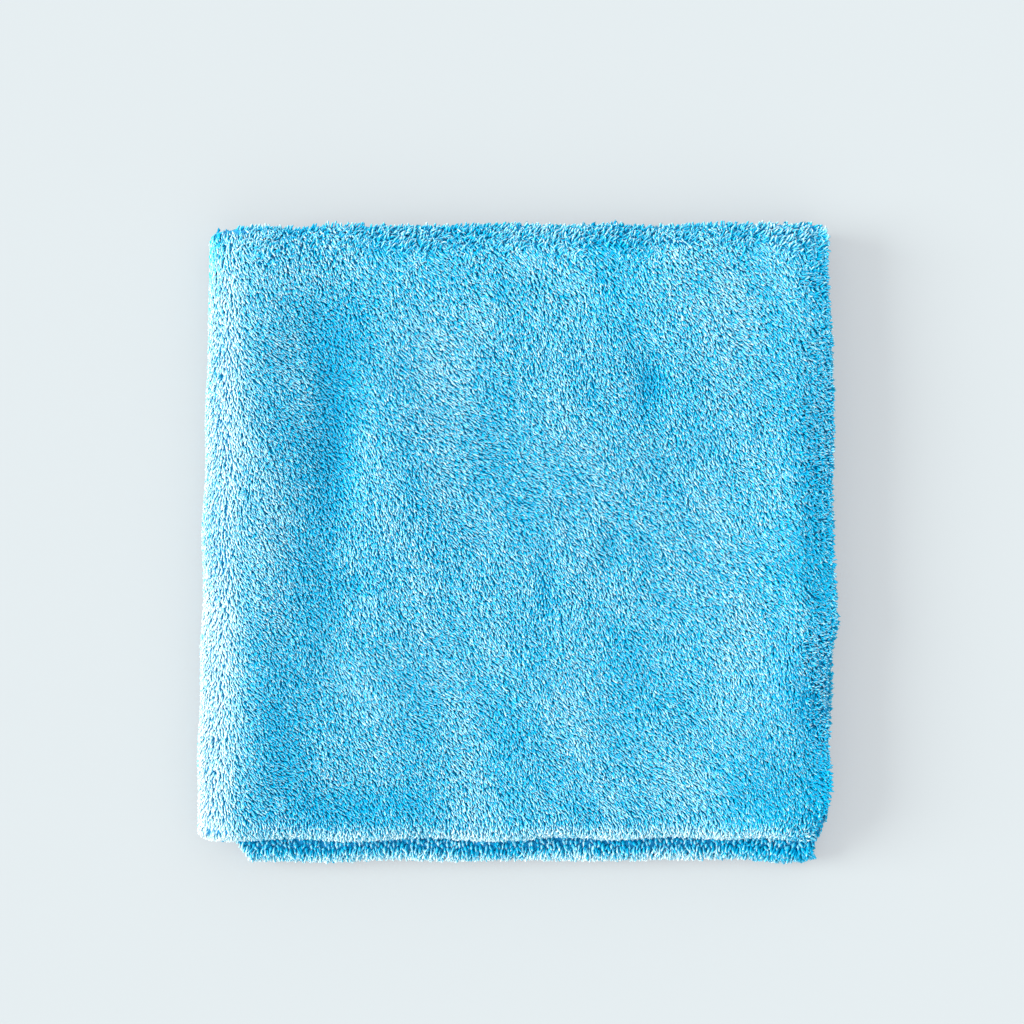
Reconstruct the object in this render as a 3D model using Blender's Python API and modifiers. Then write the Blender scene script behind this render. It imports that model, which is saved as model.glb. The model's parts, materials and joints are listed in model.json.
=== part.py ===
"""Plush microfibre polishing cloth, folded in four and lying flat.

The cloth is one square knit with a pile on both sides and no hem. It is folded in half along
X, which makes the front folds, and then in half along Y, which makes the spine. That leaves
four quarters on each other. From the table up they are bottom, lower_inner, upper_inner and
top. Each quarter and each fold has three layers: the base knit, the pile of the cloth's face,
which is outside on the folded stack, and the pile of its back.

The stack opens like a book: the upper two quarters turn about the spine, and the fabric that
runs round the spine unrolls with them.

Frame: +Z up, +X from the spine to the free edges, +Y from the front folds to the free edges.
The origin is the centre of the footprint, on the table. Units are metres.
"""
import math

import bmesh
import bpy
from mathutils import Vector

# Driving dimensions
FOLDED_WIDTH = 0.200
FOLDED_DEPTH = 0.200
PILE_HEIGHT = 0.0015
KNIT_THICKNESS = 0.0008
CLEARANCE = 0.0003
FREE_EDGE_STEP = 0.0015
FREE_CORNER_RADIUS = 0.006
CORNER_SEGMENTS = 6
ARC_STEPS = 12

# Heights worked out from them
LAYERS = ("pile", "knit", "pile")
LAYER_THICKNESS = 2 * PILE_HEIGHT + KNIT_THICKNESS + 2 * CLEARANCE
LAYER_PITCH = LAYER_THICKNESS + CLEARANCE
FRONT_FOLD_RADIUS = LAYER_PITCH - CLEARANCE / 2
SPINE_RADIUS = 2 * LAYER_PITCH - CLEARANCE / 2
MID_HEIGHT = SPINE_RADIUS

# Plan lines: the folds' centre lines, and where the flat quarters start beside them
SPINE_X = -FOLDED_WIDTH / 2 + SPINE_RADIUS
FRONT_Y = -FOLDED_DEPTH / 2 + FRONT_FOLD_RADIUS
QUARTER_X = SPINE_X + CLEARANCE
QUARTER_Y = FRONT_Y + CLEARANCE
FREE_X = FOLDED_WIDTH / 2
FREE_Y = FOLDED_DEPTH / 2

# The line that the upper half turns about when the fold is opened
HINGE = Vector((SPINE_X - LAYER_PITCH, 0, MID_HEIGHT))

# Colour and roughness of each kind of layer
FINISHES = {
    "base_knit": ((0.010, 0.250, 0.480, 1), 0.85),
    "face_pile": ((0.090, 0.560, 0.800, 1), 0.95),
    "back_pile": ((0.070, 0.480, 0.740, 1), 0.95),
}


def clear_scene():
    for item in list(bpy.data.objects):
        bpy.data.objects.remove(item, do_unlink=True)


def make_material(node):
    """One Principled material for a sub-part, finished as its kind of layer."""
    kind = next(kind for kind in FINISHES if node.endswith(kind))
    colour, roughness = FINISHES[kind]
    material = bpy.data.materials.new(node)
    material.use_nodes = True
    shader = material.node_tree.nodes["Principled BSDF"]
    shader.inputs["Base Color"].default_value = colour
    shader.inputs["Roughness"].default_value = roughness
    shader.inputs["Metallic"].default_value = 0.0
    material.diffuse_color = colour
    return material


def add_object(node, mesh, parent, place):
    """Put a mesh in the cloth's collection, at a world place under its half of the cloth."""
    piece = bpy.data.objects.new(node, mesh)
    piece.parent = parent
    piece.location = Vector(place) - parent.location
    mesh.materials.append(make_material(node))
    collection.objects.link(piece)
    return piece


def add_half(name, place):
    half = bpy.data.objects.new(name, None)
    half.empty_display_size = 0.02
    half.location = place
    collection.objects.link(half)
    return half


def box_mesh(node, low, high):
    """A slab from low to high, with its free corner rounded in plan."""
    shape = bmesh.new()
    bmesh.ops.create_cube(shape, size=1)
    size = high - low
    bmesh.ops.scale(shape, vec=size, verts=shape.verts)
    bmesh.ops.translate(shape, vec=(low + high) / 2, verts=shape.verts)
    upright = [e for e in shape.edges if abs(e.verts[0].co.z - e.verts[1].co.z) > size.z / 2]
    free_corner = max(upright, key=lambda e: e.verts[0].co.x + e.verts[0].co.y)
    bmesh.ops.bevel(
        shape,
        geom=[free_corner],
        affect="EDGES",
        offset=FREE_CORNER_RADIUS,
        segments=CORNER_SEGMENTS,
        profile=0.5,
    )
    mesh = bpy.data.meshes.new(node)
    shape.to_mesh(mesh)
    shape.free()
    return mesh


def profile_mesh(node, points):
    """An open line of points, to be turned by a Screw modifier."""
    mesh = bpy.data.meshes.new(node)
    mesh.from_pydata(points, [(i, i + 1) for i in range(len(points) - 1)], [])
    return mesh


def turn_half_round(piece, axis, angle, thickness):
    """Turn a profile through a half circle into an open surface, and thicken it."""
    screw = piece.modifiers.new("turn", "SCREW")
    screw.axis = axis
    screw.angle = angle
    screw.steps = ARC_STEPS
    screw.render_steps = ARC_STEPS
    screw.use_smooth_shade = True
    shell = piece.modifiers.new("thickness", "SOLIDIFY")
    shell.thickness = thickness
    shell.offset = 0
    shell.use_even_offset = True


def layer_spans():
    """Start and end of the three layers, measured up through one thickness of cloth."""
    start = 0.0
    for layer in LAYERS:
        end = start + (KNIT_THICKNESS if layer == "knit" else PILE_HEIGHT)
        yield start, end
        start = end + CLEARANCE


def layer_names(face_first):
    """Names of the three layers in the order of layer_spans."""
    names = ["face_pile", "base_knit", "back_pile"]
    return names if face_first else names[::-1]


def add_quarter(name, level, half):
    """One flat quarter: three slabs. The face is down on the even levels and up on the odd."""
    step = FREE_EDGE_STEP if level in (0, 3) else 0
    base = level * LAYER_PITCH
    for (start, end), layer in zip(layer_spans(), layer_names(level % 2 == 0)):
        node = f"{name}_{layer}"
        low = Vector((QUARTER_X, QUARTER_Y, base + start)) - half.location
        high = Vector((FREE_X - step, FREE_Y - step, base + end)) - half.location
        add_object(node, box_mesh(node, low, high), half, half.location)


def fold_spans(inner_radius):
    """Mean radius and thickness of a fold's three layers, from its centre line outwards."""
    for start, end in layer_spans():
        yield inner_radius + (start + end) / 2, end - start


def add_front_fold(name, level, half):
    """The half-round fold that joins two quarters along the front."""
    height = level * LAYER_PITCH + FRONT_FOLD_RADIUS
    centre = Vector(((QUARTER_X + FREE_X - FREE_EDGE_STEP) / 2, FRONT_Y, height))
    reach = (FREE_X - FREE_EDGE_STEP - QUARTER_X) / 2
    spans = fold_spans(CLEARANCE / 2)
    for (radius, thickness), layer in zip(spans, layer_names(face_first=False)):
        node = f"{name}_{layer}"
        line = profile_mesh(node, [(-reach, 0, -radius), (reach, 0, -radius)])
        piece = add_object(node, line, half, centre)
        turn_half_round(piece, "X", -math.pi, thickness)


def add_spine_fold(name, inner_radius, face_first, half):
    """The half-round fold that joins a quarter of the lower half to one of the upper half."""
    centre = Vector((SPINE_X, (QUARTER_Y + FREE_Y - FREE_EDGE_STEP) / 2, MID_HEIGHT))
    reach = (FREE_Y - FREE_EDGE_STEP - QUARTER_Y) / 2
    spans = fold_spans(inner_radius)
    for (radius, thickness), layer in zip(spans, layer_names(face_first)):
        node = f"{name}_{layer}"
        line = profile_mesh(node, [(0, -reach, -radius), (0, reach, -radius)])
        piece = add_object(node, line, half, centre)
        turn_half_round(piece, "Y", math.pi, thickness)


def add_corner_fold(name, half):
    """The front fold carried round the spine: a half ring of half-round section."""
    centre = Vector((SPINE_X, FRONT_Y, MID_HEIGHT))
    drop = MID_HEIGHT - FRONT_FOLD_RADIUS
    spans = fold_spans(CLEARANCE / 2)
    for (radius, thickness), layer in zip(spans, layer_names(face_first=False)):
        node = f"{name}_{layer}"
        angles = [math.pi * i / ARC_STEPS for i in range(ARC_STEPS + 1)]
        arc = [(0, -radius * math.sin(a), -drop - radius * math.cos(a)) for a in angles]
        piece = add_object(node, profile_mesh(node, arc), half, centre)
        turn_half_round(piece, "Y", math.pi, thickness)


clear_scene()
collection = bpy.data.collections.new("polishing_cloth")
bpy.context.scene.collection.children.link(collection)

lower_half = add_half("lower_half", (0, 0, 0))
upper_half = add_half("upper_half", HINGE)

add_quarter("bottom_quarter", 0, lower_half)
add_quarter("lower_inner_quarter", 1, lower_half)
add_quarter("upper_inner_quarter", 2, upper_half)
add_quarter("top_quarter", 3, upper_half)

add_front_fold("lower_front_fold", 0, lower_half)
add_front_fold("upper_front_fold", 2, upper_half)

add_spine_fold("inner_spine_fold", CLEARANCE / 2, True, lower_half)
add_spine_fold("outer_spine_fold", CLEARANCE / 2 + LAYER_PITCH, False, lower_half)
add_corner_fold("corner_fold", lower_half)
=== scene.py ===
"""Looks of the plush microfibre cloth, folded in four, on a pale table.

The knit is one sheet, bent through both folds by folded(). The pile is separate tufts of mesh,
planted on that sheet, in one piece or a few for each face of a quarter or a fold. A place on the
flat sheet is (u, v): u runs across the spine and v across the front folds, both 0 on the fold. u is
negative on the lower half, and v is negative on the inner quarters.
"""
import json
import math

import bpy
import numpy as np
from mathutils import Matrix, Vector


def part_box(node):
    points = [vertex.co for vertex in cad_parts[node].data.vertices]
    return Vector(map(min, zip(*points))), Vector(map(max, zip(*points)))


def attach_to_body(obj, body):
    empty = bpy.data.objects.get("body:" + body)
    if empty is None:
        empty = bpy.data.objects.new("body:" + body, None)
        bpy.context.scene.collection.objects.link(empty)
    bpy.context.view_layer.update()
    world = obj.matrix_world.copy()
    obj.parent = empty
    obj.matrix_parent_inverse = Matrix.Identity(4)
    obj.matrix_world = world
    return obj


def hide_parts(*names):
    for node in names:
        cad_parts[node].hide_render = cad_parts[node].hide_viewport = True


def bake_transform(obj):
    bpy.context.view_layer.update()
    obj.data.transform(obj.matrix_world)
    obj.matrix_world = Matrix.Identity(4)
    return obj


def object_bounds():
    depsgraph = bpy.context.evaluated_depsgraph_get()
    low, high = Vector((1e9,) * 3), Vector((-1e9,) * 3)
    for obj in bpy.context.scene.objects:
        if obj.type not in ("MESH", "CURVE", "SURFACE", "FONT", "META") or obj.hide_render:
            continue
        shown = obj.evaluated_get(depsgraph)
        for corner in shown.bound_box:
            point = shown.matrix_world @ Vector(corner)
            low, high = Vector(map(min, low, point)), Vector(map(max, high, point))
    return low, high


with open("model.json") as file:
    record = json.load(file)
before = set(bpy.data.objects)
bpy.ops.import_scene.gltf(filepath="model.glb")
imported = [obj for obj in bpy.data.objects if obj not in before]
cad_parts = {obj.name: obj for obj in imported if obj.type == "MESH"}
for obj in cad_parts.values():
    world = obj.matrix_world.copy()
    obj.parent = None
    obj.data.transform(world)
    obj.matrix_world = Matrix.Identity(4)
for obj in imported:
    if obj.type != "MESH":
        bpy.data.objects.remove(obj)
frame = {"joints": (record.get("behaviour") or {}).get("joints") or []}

CAD_LOW, CAD_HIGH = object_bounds()
MM = 0.001
TURN = 2 * math.pi

# The frame: the knit's own planes and the lines that the cloth is folded on
BOTTOM_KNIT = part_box("bottom_quarter_base_knit")
INNER_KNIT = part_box("lower_inner_quarter_base_knit")
TOP_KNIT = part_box("top_quarter_base_knit")
KNIT = BOTTOM_KNIT[1].z - BOTTOM_KNIT[0].z
PITCH = INNER_KNIT[0].z - BOTTOM_KNIT[0].z
MID = (BOTTOM_KNIT[0].z + TOP_KNIT[1].z) / 2
TOP = CAD_HIGH.z
HINGE_X = frame["joints"][0]["pos_m"][0]
SPINE_X = HINGE_X + PITCH
SPINE_RADIUS = PITCH
FRONT_RADIUS = PITCH / 2
FRONT_Y = CAD_LOW.y + PITCH
FREE_EDGE_STEP = 1.5 * MM
FREE_X = CAD_HIGH.x - FREE_EDGE_STEP
FREE_Y = CAD_HIGH.y - FREE_EDGE_STEP

# The flat sheet, from the spine and the front fold to the free edges
U_ARC = SPINE_RADIUS * math.pi / 2
V_ARC = FRONT_RADIUS * math.pi / 2
U_END = FREE_X - SPINE_X + U_ARC
V_END = FREE_Y - FRONT_Y + V_ARC


# ---------------------------------------------------------------- smooth fields


def waves(x, y, size, seed, count=14):
    """A smooth random field about 0, with a spread of about 1, that changes over size."""
    draw = np.random.default_rng(seed)
    heading = draw.uniform(0, TURN, count)
    rate = TURN / size * draw.uniform(0.6, 1.5, count)
    phase = draw.uniform(0, TURN, count)
    total = np.zeros_like(x)
    for h, r, p in zip(heading, rate, phase):
        total += np.cos(x * r * math.cos(h) + y * r * math.sin(h) + p)
    return total * math.sqrt(2 / count)


def rise(x, start, end):
    """0 before start and 1 after end, smooth between. start may be above end."""
    t = np.clip((x - start) / (end - start), 0, 1)
    return t * t * (3 - 2 * t)


def stripe(s, place, reach):
    """A soft stripe: 1 at a place along s, falling to nothing beyond its reach, in millimetres."""
    return np.exp(-(((s / MM - place) / reach) ** 2))


def patches(x, y, table):
    """The sum of soft round patches: place in x and y, reach in x and y in millimetres, amount."""
    total = np.zeros_like(x)
    for cx, cy, rx, ry, amount in table:
        total += amount * np.exp(-(((x / MM - cx) / rx) ** 2 + ((y / MM - cy) / ry) ** 2))
    return total


# ---------------------------------------------------------------- the folded stack

# Hollows and swells of the top layer, as patches with a height in millimetres
SWELLS = (
    (-82, 0, 8, 90, 1.4),
    (-58, 30, 9, 32, -3.2),
    (-66, 64, 9, 10, -1.0),
    (-58, -30, 9, 34, -1.0),
    (-51, -13, 5, 5, -0.7),
    (-36, 12, 14, 26, 0.7),
    (41, 50, 6, 10, -1.8),
    (28, -3, 4, 8, -0.5),
    (8, -17, 3, 14, -0.5),
    (60, -32, 12, 20, 0.8),
    (62, 76, 12, 14, 0.5),
    (-52, -84, 26, 6, -1.3),
    (88, -80, 14, 16, -2.6),
)
SWELL_BROAD, SWELL_FINE = 0.25, 0.06  # the random part of that height, in millimetres
SWELL_FADE = 1.6  # how quickly the swells fade from the top layer down
ROUNDED = 14 * MM  # strip beside the spine and the front fold where they fade out

EDGE_DROOP = 0.36  # how far a free edge sinks, as a share of its height above the middle
DROOP_RIGHT, DROOP_BACK = 14 * MM, 11 * MM  # how far from each free edge it starts to sink
DROOP_FULL = -2 * MM  # it would sink fully this far past the edge

# How the free edges wander. Amounts, reaches and places are in millimetres
EDGE_PULL = 40 * MM  # how far inland an edge drags the cloth along
DRIFT = 0.9  # how much the wander changes with height, and so from layer to layer
BROAD_DRIFT = 9  # times as much for the broad part of it
RIGHT_WANDER = ((0.35, 90, 21), (0.30, 26, 22))  # broad and fine part: amount, size, seed
RIGHT_SHIFT = -1.6
RIGHT_BULGES = ((42, 22, 1.4), (-18, 16, 1.4))  # place in y, reach, amount
RIGHT_STEPS = ((-38, -60, -1.6), (-84, -102, -5.0))  # start and end in y, amount
BACK_WANDER = ((0.40, 80, 23), (0.25, 24, 24))
BACK_SLANT = 0.5
BACK_SHIFT = 0.9
BACK_TUCK = 3.0  # how far the back edge is drawn in where it turns round the spine

# How the two halves lie on each other
SETBACK = 6.0 * MM  # of the upper pair's front fold, behind the lower one
FRONT_SHIFT = 0.6 * MM
FRONT_WANDER = 0.5 * MM
SPINE_SHIFT = 0.6
SPINE_SLANT = 0.9  # more at the back, less at the front
SPINE_WANDER = 0.25 * MM
CORNER = 4.5 * MM  # how far in the free corner is rounded


def bend(s, radius, lift):
    """A sheet turned half round at s = 0: how far a point is past the fold line, and its rise."""
    angle = np.clip(s / radius, -math.pi / 2, math.pi / 2)
    past = np.abs(s) - radius * np.abs(angle) - (radius + lift) * np.cos(angle)
    return past, (radius + lift) * np.sin(angle)


def swell(x, y):
    """Height of the soft hills and hollows of the top layer."""
    uneven = SWELL_BROAD * waves(x, y, 70 * MM, 11) + SWELL_FINE * waves(x, y, 24 * MM, 12)
    return (patches(x, y, SWELLS) + uneven) * MM


def wander(s, drift, broad, fine):
    """How far an edge strays at s, in millimetres, in a broad part and a fine one."""
    (broad_amount, broad_size, broad_seed), (fine_amount, fine_size, fine_seed) = broad, fine
    strays = broad_amount * waves(s + drift * BROAD_DRIFT, drift, broad_size * MM, broad_seed)
    return strays + fine_amount * waves(s, drift, fine_size * MM, fine_seed)


def settle(x, y, z):
    """Give the neatly folded stack its slack: swells, drooping edges, wavy outline, set back."""
    upper = rise(z, MID - 0.5 * MM, MID + 2 * MM)
    share = np.clip((z - MID) / (TOP - MID), 0, 1.2) ** SWELL_FADE
    from_right, from_back = FREE_X - x, FREE_Y - y
    past_front, past_spine = y - CAD_LOW.y, x - CAD_LOW.x

    # swells, which fade towards the rounded front and spine
    inland = rise(past_front, 0, ROUNDED) * rise(past_spine, 0, ROUNDED)
    lifted = z + share * inland * swell(x, y)

    # the free edges sink, the highest the most
    droop = rise(from_right, DROOP_RIGHT, DROOP_FULL) + rise(from_back, DROOP_BACK, DROOP_FULL)
    above = np.clip(lifted - MID, 0, None)
    lifted = lifted - above * above / (TOP - MID) * EDGE_DROOP * np.clip(droop, 0, 1.2)

    # the free edges wander a little, each layer in its own way
    near_right, near_back = rise(from_right, EDGE_PULL, 0), rise(from_back, EDGE_PULL, 0)
    drift = z * DRIFT
    side = wander(y, drift, *RIGHT_WANDER) + RIGHT_SHIFT
    for place, reach, amount in RIGHT_BULGES:
        side += amount * stripe(y, place, reach)
    for start, end, amount in RIGHT_STEPS:
        side += amount * rise(y, start * MM, end * MM)
    back = wander(x, drift, *BACK_WANDER) + BACK_SLANT * x / FREE_X + BACK_SHIFT
    back -= BACK_TUCK * rise(past_spine, 6 * MM, -2 * MM) ** 1.5
    moved_x = x + near_right * side * MM
    moved_y = y + near_back * back * MM

    # the upper pair sits back from the lower one, and the corner fold is tucked in
    near_front = 1 - rise(past_front, 4 * MM, 90 * MM)
    tucked = rise(past_spine, 17 * MM, 12 * MM)
    strays = FRONT_WANDER * waves(x, drift, 34 * MM, 25)
    moved_y = moved_y + near_front * (np.maximum(upper, tucked) * SETBACK + strays + FRONT_SHIFT)
    near_spine = 1 - rise(past_spine, 0, 60 * MM)
    strays = SPINE_WANDER * waves(y, drift, 50 * MM, 26)
    moved_x = moved_x + near_spine * ((SPINE_SHIFT + SPINE_SLANT * y / FREE_Y) * MM + strays)

    # the free corner is rounded
    across = np.clip((moved_x - (FREE_X - CORNER)) / CORNER, 0, 1.3)
    along = np.clip((moved_y - (FREE_Y - CORNER)) / CORNER, 0, 1.3)
    moved_x = moved_x - CORNER * across * (1 - np.sqrt(1 - np.clip(along, 0, 1) ** 2 / 2))
    moved_y = moved_y - CORNER * along * (1 - np.sqrt(1 - np.clip(across, 0, 1) ** 2 / 2))
    return np.stack([moved_x, moved_y, lifted], axis=-1)


def folded(u, v, lift):
    """Where a point of the flat sheet has come to. lift is off its middle, towards the face."""
    past, out = bend(v, FRONT_RADIUS, lift)
    y = FRONT_Y + past
    past, height = bend(u, SPINE_RADIUS, out)
    return settle(SPINE_X + past, y, MID + height)


# ---------------------------------------------------------------- meshes


def make_mesh(name, points, loops, counts, uv, materials, material_index=None):
    """A smooth mesh with its map, from flat arrays."""
    mesh = bpy.data.meshes.new(name)
    mesh.vertices.add(len(points))
    mesh.vertices.foreach_set("co", points.astype(np.float32).ravel())
    mesh.loops.add(len(loops))
    mesh.loops.foreach_set("vertex_index", loops.astype(np.int32))
    mesh.polygons.add(len(counts))
    starts = np.concatenate([[0], np.cumsum(counts)[:-1]])
    mesh.polygons.foreach_set("loop_start", starts.astype(np.int32))
    mesh.polygons.foreach_set("use_smooth", np.ones(len(counts), bool))
    for material in materials:
        mesh.materials.append(material)
    if material_index is not None:
        mesh.polygons.foreach_set("material_index", material_index.astype(np.int32))
    mesh.update(calc_edges=True)
    layer = mesh.uv_layers.new(name="OFBake")
    layer.data.foreach_set("uv", uv.astype(np.float32).ravel())
    mesh.validate()
    piece = bpy.data.objects.new(name, mesh)
    bpy.context.scene.collection.objects.link(piece)
    return piece


def grid_lines(arc, end, flat_step, arc_step):
    """Grid values from -end to end, close together round the fold."""
    flats = max(2, round((end - arc) / flat_step))
    turns = max(2, round(2 * arc / arc_step))
    low = np.linspace(-end, -arc, flats, endpoint=False)
    middle = np.linspace(-arc, arc, turns, endpoint=False)
    return np.concatenate([low, middle, np.linspace(arc, end, flats + 1)])


def knit_sheet(material, rim_material):
    """The whole knit, both sides and the fused rim, as one closed sheet."""
    us = grid_lines(U_ARC, U_END, 3 * MM, 0.7 * MM)
    vs = grid_lines(V_ARC, V_END, 3 * MM, 0.5 * MM)
    u, v = (g.ravel() for g in np.meshgrid(us, vs, indexing="ij"))
    points = np.concatenate([folded(u, v, side * KNIT / 2) for side in (1, -1)])
    nu, nv, half = len(us), len(vs), len(u)
    corner = (np.arange(nu - 1)[:, None] * nv + np.arange(nv - 1)[None, :]).ravel()
    face = np.stack([corner, corner + 1, corner + nv + 1, corner + nv], axis=1)
    back = face[:, ::-1] + half
    rim = np.concatenate([
        np.arange(0, (nu - 1) * nv, nv),
        (nu - 1) * nv + np.arange(nv - 1),
        np.arange(nu * nv - 1, nv - 1, -nv),
        np.arange(nv - 1, 0, -1),
    ])
    after = np.roll(rim, -1)
    edge = np.stack([rim, after, after + half, rim + half], axis=1)
    loops = np.concatenate([face, back, edge]).ravel()
    counts = np.full(len(loops) // 4, 4)

    # the two sides lie next to each other on the map
    across = (u + U_END) / (2 * U_END)
    along = (v + V_END) / (2 * V_END)
    chart = np.concatenate([
        np.stack([across * 0.48 + start, along * 0.9 + 0.05], axis=1) for start in (0.01, 0.51)
    ])
    index = np.zeros(len(counts))
    index[len(face) + len(back):] = 1
    materials = [material, rim_material]
    return make_mesh("knit_sheet", points, loops, counts, chart[loops], materials, index)


# ---------------------------------------------------------------- tufts

# A tuft's spine from root to tip: how far along its lean, how high, and how wide
FULL_TUFT = ((0.00, 0.00, 0.60), (0.22, 0.66, 1.00), (0.70, 1.00, 0.95), (1.00, 0.84, 0.00))
PLAIN_TUFT = ((0.00, 0.00, 0.70), (0.45, 0.90, 1.00), (1.00, 0.80, 0.00))
SIDES = 3
HALF_WIDTH, HALF_THICKNESS = 0.575, 0.34  # of the section, for a tuft 1 wide
ROOT_DEPTH = 0.12 * MM
ABOVE_TABLE = 0.02 * MM

# How tufts differ from each other, as factors, and how far their tips stray sideways
LONG, TALL, WIDE = (0.72, 1.25), (0.75, 1.20), (0.75, 1.25)
CURL = 0.15
SHORTER_AT_EDGE = 0.30
COARSE_AT_EDGE, FINER_INLAND = 1.10, 0.16

# Which way the pile lies on the sheet, in degrees from +u towards +v
COMB_FIELD = -58
COMB_SPINE = -92
COMB_UPPER_FRONT = -88
COMB_LOWER_FRONT = 84
COMB_LOWER_RIGHT = 120, -180  # beside the front fold, and elsewhere
COMB_INNER_BACK = -90
COMB_BROAD, COMB_FINE = 7, 6  # how far it swings about that, over 70 mm and over 16 mm
FRINGE_RIGHT = -8, 22  # middle and spread of the loose tufts at a free edge
FRINGE_BACK = 55, 25
UNRULY, UNRULY_ON_FRONT = 10, 16

# A tuft's colour is a column of the map, from deep to pale, moved by random tone and by painted
# light and shade. These are counted in columns
SHADES = 16
TONE, TONE_WAVES, TONE_SPREAD = 5.8, 0.7, 2.2
# painted light and shade on each tuft, in columns: lighter on its lit flank, darker on its shaded
# flanks
LIT_FLANK_PAINT, SHADED_FLANK_PAINT = 3.0, -4.6
SPINE_CREST = 2.8  # where in u the painted light on the spine's roll is strongest, in millimetres
# painted light on the lit crest of the spine's roll, less towards the back, and painted shade under
# the roll, in columns
SPINE_PAINTED_LIGHT, LESS_AT_BACK, UNDER_SPINE_PAINTED_SHADE = 11.5, 3, -2.6
# painted highlight along the rims of the two front folds
FRONT_PAINTED_LIGHT = 8
# Painted shade and light, as patches with an amount in columns: darker in hollows of the swells,
# along the sinking right edge and elsewhere, lighter on some swells and near the spine
PAINTED_SHADING = (
    (-59, 28, 7, 36, -6.0),
    (-62, 68, 12, 15, -3.6),
    (-66, -46, 9, 30, -2.6),
    (-77, -70, 7, 16, -3.6),
    (-51, -13, 4, 4, -4.0),
    (-53, -84, 12, 5, -4.0),
    (-50, -80, 20, 6, -2.0),
    (41, 50, 4, 8, -6.0),
    (28, -3, 3, 7, -2.4),
    (8, -17, 3, 12, -2.0),
    (93, 16, 8, 80, -3.2),
    (85, -76, 15, 26, -4.4),
    (38, -38, 12, 14, -2.2),
    (-6, 82, 16, 6, -2.0),
    (62, 76, 12, 14, 0.4),
    (54, 42, 8, 16, -2.4),
    (38, 64, 10, 22, -1.4),
    (2, -68, 10, 20, -1.4),
    (-18, 12, 6, 14, -1.6),
    (34, -30, 8, 10, -1.4),
    (57, 84, 8, 8, -1.8),
    (40, -76, 14, 10, 1.8),
    (-76, 14, 8, 26, 1.8),
    (-42, 66, 6, 10, 1.8),
    (68, -10, 10, 10, -1.6),
    (80, -98, 14, 5, -5.0),
    (62, -32, 11, 20, 2.0),
    (-40, 8, 8, 14, 1.4),
    (-84, 30, 7, 90, 1.2),
)


def tuft_pattern(levels):
    """Faces of one tuft with closed root, and each face corner's place in a column and flank."""
    rings = len(levels) - 1
    loops, counts, chart, flank = [], [], [], []
    for ring in range(rings - 1):
        this, above = ring * SIDES, (ring + 1) * SIDES
        low, high = levels[ring][0], levels[ring + 1][0]
        for i in range(SIDES):
            j = (i + 1) % SIDES
            left, right = i / SIDES, (i + 1) / SIDES
            loops += [this + i, this + j, above + j, above + i]
            chart += [(left, low), (right, low), (right, high), (left, high)]
            flank += [i] * 4
            counts.append(4)
    last, low = (rings - 1) * SIDES, levels[rings - 1][0]
    for i in range(SIDES):
        loops += [last + i, last + (i + 1) % SIDES, rings * SIDES]
        chart += [(i / SIDES, low), ((i + 1) / SIDES, low), ((i + 0.5) / SIDES, 1)]
        flank += [i] * 3
        counts.append(3)
    loops += list(range(SIDES))[::-1]
    chart += [(0.5, 0)] * SIDES
    flank += [SIDES - 1] * SIDES
    counts.append(SIDES)
    return np.array(loops), np.array(counts), np.array(chart, float), np.array(flank)


def scatter(u_span, v_span, step, seed, keep=None):
    """Roots on a jittered grid over part of the sheet. step is the spacing in millimetres."""
    draw = np.random.default_rng(seed)
    spans = (u_span, v_span)
    rows = [max(1, round((b - a) / (s * MM))) for (a, b), s in zip(spans, step)]
    i, j = (g.ravel() for g in np.meshgrid(*(np.arange(n) for n in rows), indexing="ij"))
    shift = (i % 2) * 0.5
    place_u = i + 0.5 + draw.uniform(-0.36, 0.36, len(i))
    place_v = j + 0.25 + shift + draw.uniform(-0.36, 0.36, len(i))
    u = u_span[0] + place_u * (u_span[1] - u_span[0]) / rows[0]
    v = v_span[0] + place_v * (v_span[1] - v_span[0]) / rows[1]
    v = np.clip(v, *v_span)
    if keep is not None:
        chosen = keep(u, v)
        u, v = u[chosen], v[chosen]
    return u, v


def turn_to(angle, target, share):
    return angle * (1 - share) + target * share


def comb_angle(u, v, face, draw):
    """Which way the pile lies on the sheet, in radians from +u towards +v."""
    swing = COMB_BROAD * waves(u, v, 70 * MM, 31)
    angle = COMB_FIELD + swing + COMB_FINE * waves(u, v, 16 * MM, 32)

    # down along the spine, and out over the front folds
    on_spine = rise(np.abs(u), U_ARC + 8 * MM, U_ARC - 3 * MM)
    angle = turn_to(angle, COMB_SPINE, on_spine)
    lower = rise(u, -U_ARC + 4 * MM, -U_ARC - 6 * MM)
    over_front = COMB_UPPER_FRONT + (COMB_LOWER_FRONT - COMB_UPPER_FRONT) * lower
    edge = V_ARC + np.where((u < 0) & (v < 0), 6 * MM, 0)
    angle = turn_to(angle, over_front, rise(np.abs(v), edge + 5 * MM, edge - 1 * MM))

    # towards a free edge, more and more tufts take a way of their own
    ragged = 2 * MM * waves(u, v, 14 * MM, 33) + MM * waves(u, v, 5 * MM, 34)
    right_fringe = 0.85 * rise(U_END - u + ragged, 13 * MM, -3 * MM)
    back_fringe = 0.8 * rise(V_END - v + ragged, 16 * MM, -4 * MM) * (1 - on_spine * face)
    for fringe, loose in ((right_fringe, FRINGE_RIGHT), (back_fringe, FRINGE_BACK)):
        chosen = draw.uniform(0, 1, len(u)) < fringe
        angle = np.where(chosen, draw.normal(*loose, len(u)), angle)

    # the free edges of the lower half and of the inner quarters
    over_right = np.where(np.abs(v) < V_ARC + 12 * MM, *COMB_LOWER_RIGHT)
    angle = turn_to(angle, over_right, rise(U_END + u, 10 * MM, 2 * MM))
    angle = turn_to(angle, COMB_INNER_BACK, rise(V_END + v, 10 * MM, 2 * MM))

    on_front = rise(np.abs(v), V_ARC + 1 * MM, V_ARC - 2 * MM)
    unruly = UNRULY + UNRULY_ON_FRONT * on_front
    return np.radians(angle + unruly * draw.normal(0, 1, len(u)))


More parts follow.
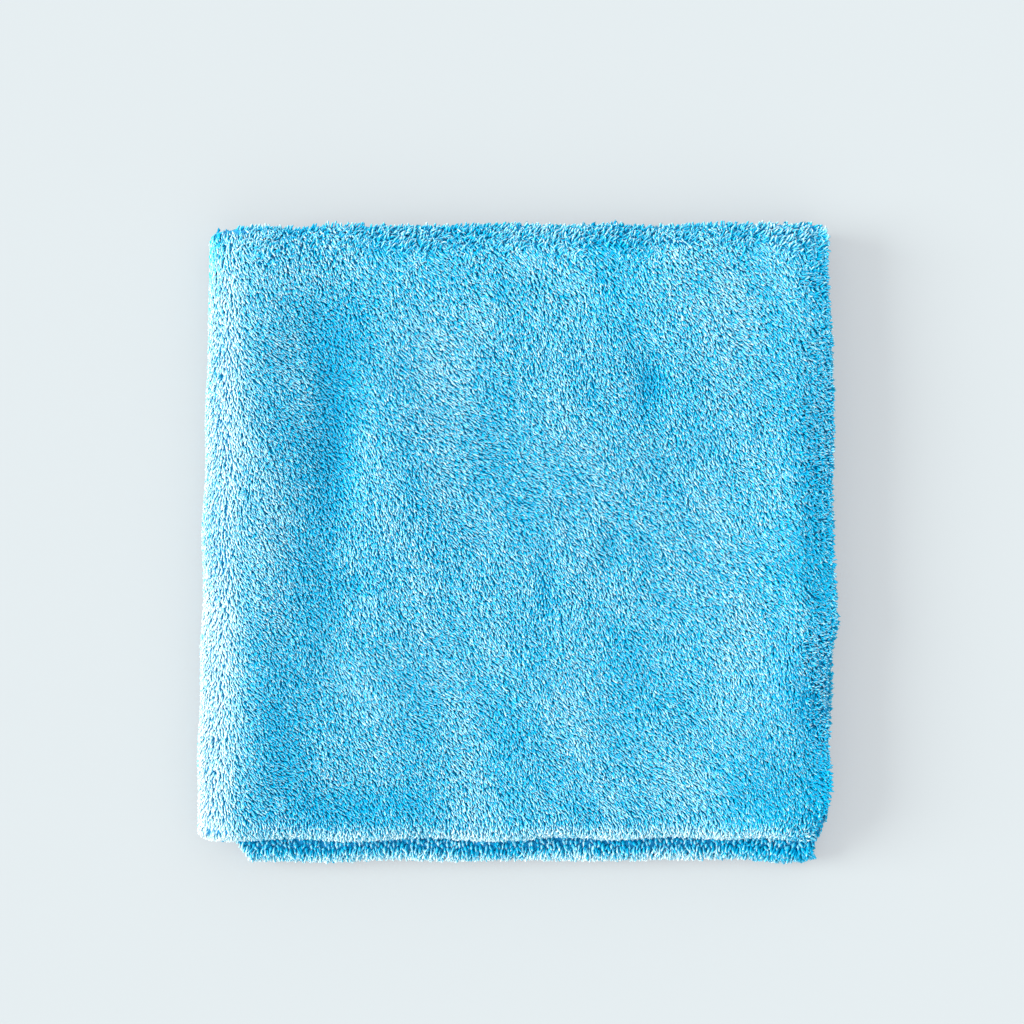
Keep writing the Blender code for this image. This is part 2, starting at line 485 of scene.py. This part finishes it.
def painted_fold_light(u, v, y, side):
    """Painted light on the rolls of the two folds, and painted shade under the spine's roll and
    below the lower front fold's rim, in columns.
    """
    crest = stripe(u, SPINE_CREST, np.where(u / MM < SPINE_CREST, 4.6, 6.2))
    spine = (SPINE_PAINTED_LIGHT - LESS_AT_BACK * y / FREE_Y) * crest + UNDER_SPINE_PAINTED_SHADE * stripe(u, -9, 5)
    upper_front = FRONT_PAINTED_LIGHT * stripe(v, 1.0, 2.3)
    lower_front = FRONT_PAINTED_LIGHT * stripe(v, -1.0, 1.5) - stripe(v, -4.2, 1.8)
    return side * spine + np.where(u > 0, upper_front, lower_front)


def unit(a):
    return a / np.maximum(np.linalg.norm(a, axis=1, keepdims=True), 1e-12)


def plant(name, side, roots, levels, size, seed, material, painted_shading):
    """Tufts on one side of the sheet, each leaning along the sheet from its root."""
    draw = np.random.default_rng(seed)
    length, height, width = size
    u, v = roots
    count = len(u)

    # the sheet's own directions at each root
    small = 0.25 * MM
    skin = side * KNIT / 2
    root = folded(u, v, side * (KNIT / 2 - ROOT_DEPTH))
    normal = unit(folded(u, v, skin + side * small) - folded(u, v, skin - side * small))
    along_u = unit(folded(u + small, v, skin) - folded(u - small, v, skin))
    along_v = unit(folded(u, v + small, skin) - folded(u, v - small, skin))

    angle = comb_angle(u, v, side > 0, draw)
    lean = np.cos(angle)[:, None] * along_u + np.sin(angle)[:, None] * along_v
    lean = unit(lean - (lean * normal).sum(1, keepdims=True) * normal)
    across = np.cross(lean, normal)

    inland = np.minimum(U_END - np.abs(u), V_END - np.abs(v))
    long = length * draw.uniform(*LONG, count) * (1 - SHORTER_AT_EDGE * rise(inland, 4 * MM, 0))
    tall = height * draw.uniform(*TALL, count)
    wide = width * draw.uniform(*WIDE, count)
    coarse = COARSE_AT_EDGE - FINER_INLAND * rise(inland, 4 * MM, 50 * MM)
    long, wide = long * coarse, wide * coarse
    curl = draw.normal(0, CURL, count)
    rings = []
    for place, lift, girth in levels:
        centre = root + lean * (long * place)[:, None] + normal * (tall * lift)[:, None]
        centre = centre + across * (long * curl * place * place)[:, None]
        if girth == 0:
            rings.append(centre[:, None, :])
            continue
        ring = []
        for i in range(SIDES):
            turn = TURN * i / SIDES - math.pi / 6
            flat = across * (wide * girth * HALF_WIDTH * math.cos(turn))[:, None]
            thick = normal * (wide * girth * HALF_THICKNESS * math.sin(turn))[:, None]
            ring.append(centre + flat + thick)
        rings.append(np.stack(ring, axis=1))
    points = np.concatenate(rings, axis=1)
    points[:, :, 2] = np.maximum(points[:, :, 2], ABOVE_TABLE)

    tone = TONE + TONE_WAVES * waves(u + 0.4 * v, 0.5 * v, 24 * MM, 35)
    tone += draw.normal(0, TONE_SPREAD, count)
    # painted shade and light of the hollows, swells and edges, on the pile seen from above
    if painted_shading:
        tone += patches(root[:, 0], root[:, 1], PAINTED_SHADING)
    # painted light on the fold rolls and painted shade under them
    tone += painted_fold_light(u, v, root[:, 1], side)
    # painted light and shade: the flank that faces -x, towards the spine and the key light, is
    # painted lighter and the other flanks darker
    loops, counts, chart, flank = tuft_pattern(levels)
    lit_flank = np.where(across[:, 0] < 0, 0, 1)[:, None] == flank[None, :]
    column = np.round(tone[:, None] + np.where(lit_flank, LIT_FLANK_PAINT, SHADED_FLANK_PAINT))
    column = np.clip(column, 0, SHADES - 1)
    uv = np.empty((count, len(loops), 2))
    uv[:, :, 0] = (column + 0.08 + 0.84 * chart[None, :, 0]) / SHADES
    uv[:, :, 1] = 0.02 + 0.96 * chart[None, :, 1]

    first = np.arange(count)[:, None] * points.shape[1]
    all_loops = (first + loops[None, :]).ravel()
    all_counts = np.tile(counts, count)
    return make_mesh(name, points.reshape(-1, 3), all_loops, all_counts, uv.reshape(-1, 2),
                     [material])


# ---------------------------------------------------------------- materials


def principled(name):
    material = bpy.data.materials.new(name)
    material.use_nodes = True
    nodes = material.node_tree.nodes
    return material, nodes, material.node_tree.links, nodes["Principled BSDF"]


def ramp(nodes, stops):
    node = nodes.new("ShaderNodeValToRGB")
    elements = node.color_ramp.elements
    while len(elements) < len(stops):
        elements.new(0.5)
    for element, (place, colour) in zip(elements, stops):
        element.position = place
        element.color = (*colour, 1)
    return node


def pile_material(name, shades):
    """Microfibre tufts. Each shade is its colours from root to tip; a tuft's column mixes them."""
    material, nodes, links, shader = principled(name)
    chart = nodes.new("ShaderNodeUVMap")
    chart.uv_map = "OFBake"
    split = nodes.new("ShaderNodeSeparateXYZ")
    links.new(chart.outputs["UV"], split.inputs[0])
    places = (0.0, 0.35, 0.68, 0.87)
    tones = [ramp(nodes, tuple(zip(places, colours))) for colours in shades]
    for tone in tones:
        links.new(split.outputs["Y"], tone.inputs["Fac"])

    # fine streaks along the fibres
    stretch = nodes.new("ShaderNodeMapping")
    stretch.inputs["Scale"].default_value = (420, 5, 1)
    links.new(chart.outputs["UV"], stretch.inputs["Vector"])
    fibres = nodes.new("ShaderNodeTexNoise")
    fibres.inputs["Scale"].default_value = 1.0
    fibres.inputs["Detail"].default_value = 2.0
    links.new(stretch.outputs["Vector"], fibres.inputs["Vector"])
    streak = nodes.new("ShaderNodeMapRange")
    streak.inputs["From Min"].default_value = 0.25
    streak.inputs["From Max"].default_value = 0.75
    streak.inputs["To Min"].default_value = -0.22
    streak.inputs["To Max"].default_value = 0.22
    links.new(fibres.outputs["Fac"], streak.inputs["Value"])
    shade = nodes.new("ShaderNodeMath")
    shade.operation = "ADD"
    shade.use_clamp = True
    links.new(split.outputs["X"], shade.inputs[0])
    links.new(streak.outputs["Result"], shade.inputs[1])

    # from each shade to the next over the width of the map
    colour = tones[0].outputs["Color"]
    for i, tone in enumerate(tones[1:]):
        share = nodes.new("ShaderNodeMapRange")
        share.inputs["From Min"].default_value = i / (len(tones) - 1)
        share.inputs["From Max"].default_value = (i + 1) / (len(tones) - 1)
        links.new(shade.outputs["Value"], share.inputs["Value"])
        mix = nodes.new("ShaderNodeMix")
        mix.data_type = "RGBA"
        links.new(share.outputs["Result"], mix.inputs["Factor"])
        links.new(colour, mix.inputs["A"])
        links.new(tone.outputs["Color"], mix.inputs["B"])
        colour = mix.outputs["Result"]
    links.new(colour, shader.inputs["Base Color"])
    shader.inputs["Roughness"].default_value = 0.6
    shader.inputs["Specular IOR Level"].default_value = 0.02
    return material


def knit_material(name, dark, pale):
    """The ground knit: fine rows of loops, seen only between the tufts."""
    material, nodes, links, shader = principled(name)
    chart = nodes.new("ShaderNodeUVMap")
    chart.uv_map = "OFBake"
    rows = nodes.new("ShaderNodeTexWave")
    rows.inputs["Scale"].default_value = 55
    rows.inputs["Distortion"].default_value = 1.5
    rows.inputs["Detail"].default_value = 2
    links.new(chart.outputs["UV"], rows.inputs["Vector"])
    tone = ramp(nodes, ((0.2, dark), (0.9, pale)))
    links.new(rows.outputs["Fac"], tone.inputs["Fac"])
    links.new(tone.outputs["Color"], shader.inputs["Base Color"])
    bump = nodes.new("ShaderNodeBump")
    bump.inputs["Strength"].default_value = 0.5
    bump.inputs["Distance"].default_value = 0.2 * MM
    links.new(rows.outputs["Fac"], bump.inputs["Height"])
    links.new(bump.outputs["Normal"], shader.inputs["Normal"])
    shader.inputs["Roughness"].default_value = 0.9
    shader.inputs["Sheen Weight"].default_value = 0.2
    return material


# Three shades of tuft, each from root to tip. The white tips of CLEAR and PALE are a painted
# highlight in place of the fibres' sheen
DEEP = ((0.000, 0.450, 0.740), (0.000, 0.340, 0.640), (0.000, 0.350, 0.620), (0.060, 0.570, 0.790))
CLEAR = ((0.000, 0.600, 0.850), (0.000, 0.440, 0.690), (0.050, 0.580, 0.760), (1.000, 1.000, 1.000))
PALE = ((0.380, 0.840, 0.960), (0.560, 0.890, 0.970), (0.870, 0.970, 0.990), (1.000, 1.000, 1.000))
FACE_PILE = pile_material("face_pile", (DEEP, CLEAR, PALE))
BACK_PILE = pile_material("back_pile", (DEEP, CLEAR, CLEAR))
GROUND = knit_material("ground_knit", (0.000, 0.300, 0.620), (0.003, 0.400, 0.760))
RIM = knit_material("fused_rim", (0.004, 0.340, 0.660), (0.030, 0.480, 0.820))


# ---------------------------------------------------------------- the cloth

# Each part's span of the sheet in u and in v
LOWER, ROUND_SPINE, UPPER = (-U_END, -U_ARC), (-U_ARC, U_ARC), (U_ARC, U_END)
INNER, ROUND_FRONT, OUTER = (-V_END, -V_ARC), (-V_ARC, V_ARC), (V_ARC, V_END)
SPANS = {
    "bottom_quarter": (LOWER, OUTER),
    "lower_inner_quarter": (LOWER, INNER),
    "upper_inner_quarter": (UPPER, INNER),
    "top_quarter": (UPPER, OUTER),
    "lower_front_fold": (LOWER, ROUND_FRONT),
    "upper_front_fold": (UPPER, ROUND_FRONT),
    "inner_spine_fold": (ROUND_SPINE, INNER),
    "outer_spine_fold": (ROUND_SPINE, OUTER),
    "corner_fold": (ROUND_SPINE, ROUND_FRONT),
}
SEEN_FROM_ABOVE = ("top", "outer", "corner", "upper_front", "lower_front")

# Length, height and width of a tuft
OUTSIDE = (2.15 * MM, 1.35 * MM, 0.57 * MM)
FLUFFY = (2.8 * MM, 1.60 * MM, 0.74 * MM)
PRESSED = (2.4 * MM, 1.30 * MM, 1.25 * MM)
UNDER = (2.4 * MM, 1.15 * MM, 1.35 * MM)

# The piles on the cloth's face: name, part, spacing in u and v in millimetres, kind and size of
# tuft, seed, and the number of pieces
FACE_PILES = (
    ("top_pile", "top_quarter", (0.65, 0.65), FULL_TUFT, OUTSIDE, 100, 8),
    ("spine_pile", "outer_spine_fold", (0.50, 0.72), FULL_TUFT, OUTSIDE, 200, 1),
    ("corner_pile", "corner_fold", (0.75, 0.65), FULL_TUFT, OUTSIDE, 300, 1),
    ("upper_front_pile", "upper_front_fold", (0.74, 0.50), FULL_TUFT, OUTSIDE, 400, 1),
    ("lower_front_pile", "lower_front_fold", (0.82, 0.54), FULL_TUFT, FLUFFY, 500, 1),
    ("inner_spine_pile", "inner_spine_fold", (1.2, 1.3), PLAIN_TUFT, PRESSED, 600, 1),
    ("upper_page_pile", "upper_inner_quarter", (1.35, 1.35), PLAIN_TUFT, PRESSED, 700, 2),
    ("lower_page_pile", "lower_inner_quarter", (1.35, 1.35), PLAIN_TUFT, PRESSED, 800, 2),
    ("underside_pile", "bottom_quarter", (1.5, 1.5), PLAIN_TUFT, UNDER, 900, 2),
)
# The piles on its back, one for each part in the order of SPANS. They show at the free edges only,
# and on the corner fold
LINING_STEP = (1.3, 1.3)
LINING_REACH = 9 * MM
LINING_SEEDS = (1000, 1100, 1200, 1300, 1500, 1600, 1700, 1800, 1900)


def attach(piece, part):
    """Ride on the part's half of the cloth, or, on the spine and the corner, stay in place with its
    transform applied.
    """
    if "spine" in part or "corner" in part:
        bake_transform(piece)
    else:
        upper = part.startswith(("top", "upper"))
        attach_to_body(piece, "upper_half" if upper else "lower_half")


def near_free_edge(u, v):
    return (U_END - np.abs(u) < LINING_REACH) | (V_END - np.abs(v) < LINING_REACH)


def strips(span, count):
    edges = np.linspace(*span, count + 1)
    return list(zip(edges[:-1], edges[1:]))


def pile(name, part, face, step, levels, size, seed, split=1, keep=None):
    """The pile on one side of a part, in one or more pieces."""
    u_span, v_span = SPANS[part]
    layer = "face_pile" if face else "back_pile"
    material = FACE_PILE if face else BACK_PILE
    side = 1 if face else -1
    # only the pile seen from above gets the painted shade and light patches
    painted_shading = face and part.startswith(SEEN_FROM_ABOVE)
    for i, strip in enumerate(strips(u_span, split)):
        roots = scatter(strip, v_span, step, seed + i, keep)
        label = name if split == 1 else f"{name}_{i + 1}"
        piece = plant(label, side, roots, levels, size, seed + 50 + i, material, painted_shading)
        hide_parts(f"{part}_{layer}")
        attach(piece, part)


knit = knit_sheet(GROUND, RIM)
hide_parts(*(f"{part}_base_knit" for part in SPANS))
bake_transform(knit)

for name, part, step, levels, size, seed, split in FACE_PILES:
    pile(name, part, True, step, levels, size, seed, split=split)
for part, seed in zip(SPANS, LINING_SEEDS):
    keep = None if part == "corner_fold" else near_free_edge
    pile(f"{part}_lining", part, False, LINING_STEP, PLAIN_TUFT, PRESSED, seed, keep=keep)


# ---------------------------------------------------------------- table, light and camera

VIEW_TILT = math.radians(7)
VIEW_DISTANCE = 1.15
VIEW_WIDTH = 0.321
SENSOR = 36
AIM = Vector((-2.2 * MM, 9.4 * MM, 0.6 * TOP))

bpy.ops.mesh.primitive_plane_add(size=6, location=(0, 0, -0.05 * MM))
table = bpy.context.object
table.name = "table"
# a matt floor that glows a little, so that the shadow stays as light as in a studio
matte, nodes, links, shader = principled("table")
shader.inputs["Base Color"].default_value = (0.223, 0.254, 0.251, 1)
shader.inputs["Emission Color"].default_value = (0.385, 0.381, 0.402, 1)
shader.inputs["Emission Strength"].default_value = 1.0
shader.inputs["Roughness"].default_value = 1.0
shader.inputs["Specular IOR Level"].default_value = 0.0
table.data.materials.append(matte)

world = bpy.data.worlds.new("studio")
bpy.context.scene.world = world
world.use_nodes = True
sky = world.node_tree.nodes["Background"]
sky.inputs["Color"].default_value = (0.93, 0.97, 1.0, 1)
sky.inputs["Strength"].default_value = 1.25


def sun(name, azimuth, elevation, strength, spread):
    """A far soft light. azimuth is where it stands, from +X towards +Y. Angles are in degrees."""
    light = bpy.data.lights.new(name, "SUN")
    light.energy = strength
    light.angle = math.radians(spread)
    lamp = bpy.data.objects.new(name, light)
    a, e = math.radians(azimuth), math.radians(elevation)
    towards = Vector((math.cos(a) * math.cos(e), math.sin(a) * math.cos(e), math.sin(e)))
    lamp.rotation_euler = towards.to_track_quat("Z", "Y").to_euler()
    lamp.location = towards
    bpy.context.scene.collection.objects.link(lamp)


sun("key", azimuth=181, elevation=26, strength=4.5, spread=34)
sun("front", azimuth=275, elevation=32, strength=0.25, spread=60)

camera = bpy.data.cameras.new("camera")
camera.sensor_width = SENSOR
camera.lens = SENSOR * VIEW_DISTANCE / VIEW_WIDTH
camera.clip_end = 20
eye = bpy.data.objects.new("camera", camera)
back_off = Vector((0, -math.sin(VIEW_TILT), math.cos(VIEW_TILT)))
eye.location = AIM + VIEW_DISTANCE * back_off
eye.rotation_euler = (VIEW_TILT, 0, 0)
bpy.context.scene.collection.objects.link(eye)
bpy.context.scene.camera = eye
bpy.context.scene.view_settings.view_transform = "Standard"
